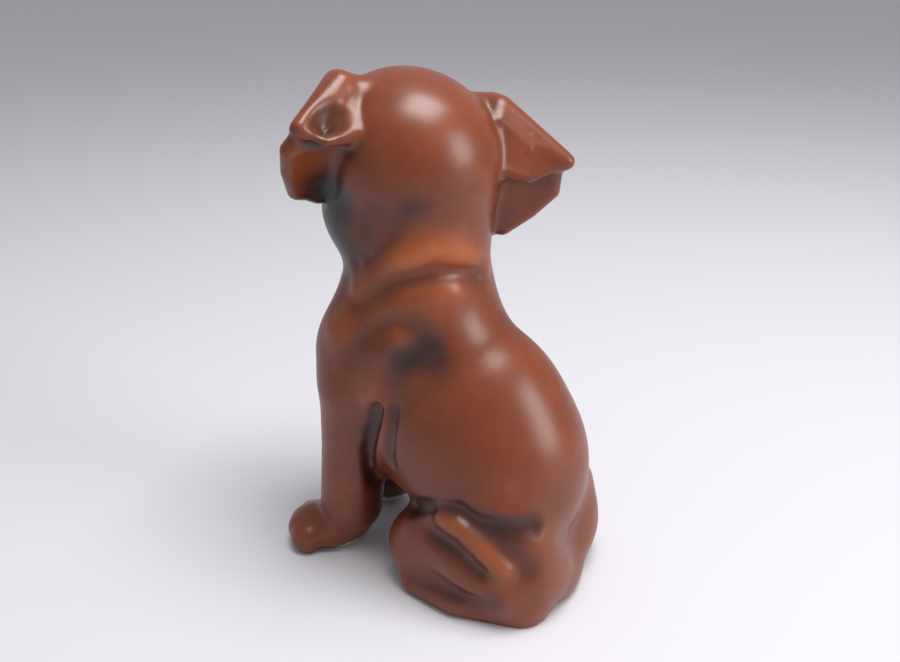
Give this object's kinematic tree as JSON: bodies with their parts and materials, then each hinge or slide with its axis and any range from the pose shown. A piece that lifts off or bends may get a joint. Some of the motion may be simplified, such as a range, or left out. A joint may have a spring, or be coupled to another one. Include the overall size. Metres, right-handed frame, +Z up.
{
  "type": "dog figurine",
  "caption": "Seated puppy figurine in glazed porcelain, slip cast in one piece, with folded ears and its head turned to look over its right side.",
  "frame": {"origin": "middle of the bounding box, on the surface that the figurine stands on", "axes": "+Z up, -Y the way the body faces, +X the dog's own left side"},
  "size_m": [0.0846, 0.1202, 0.1898],
  "materials": {
    "glazed_porcelain": "satin gloss glaze, airbrushed brown over a white body"
  },
  "bodies": {
    "root": {"dog_figurine": "glazed_porcelain"}
  },
  "joints": []
}
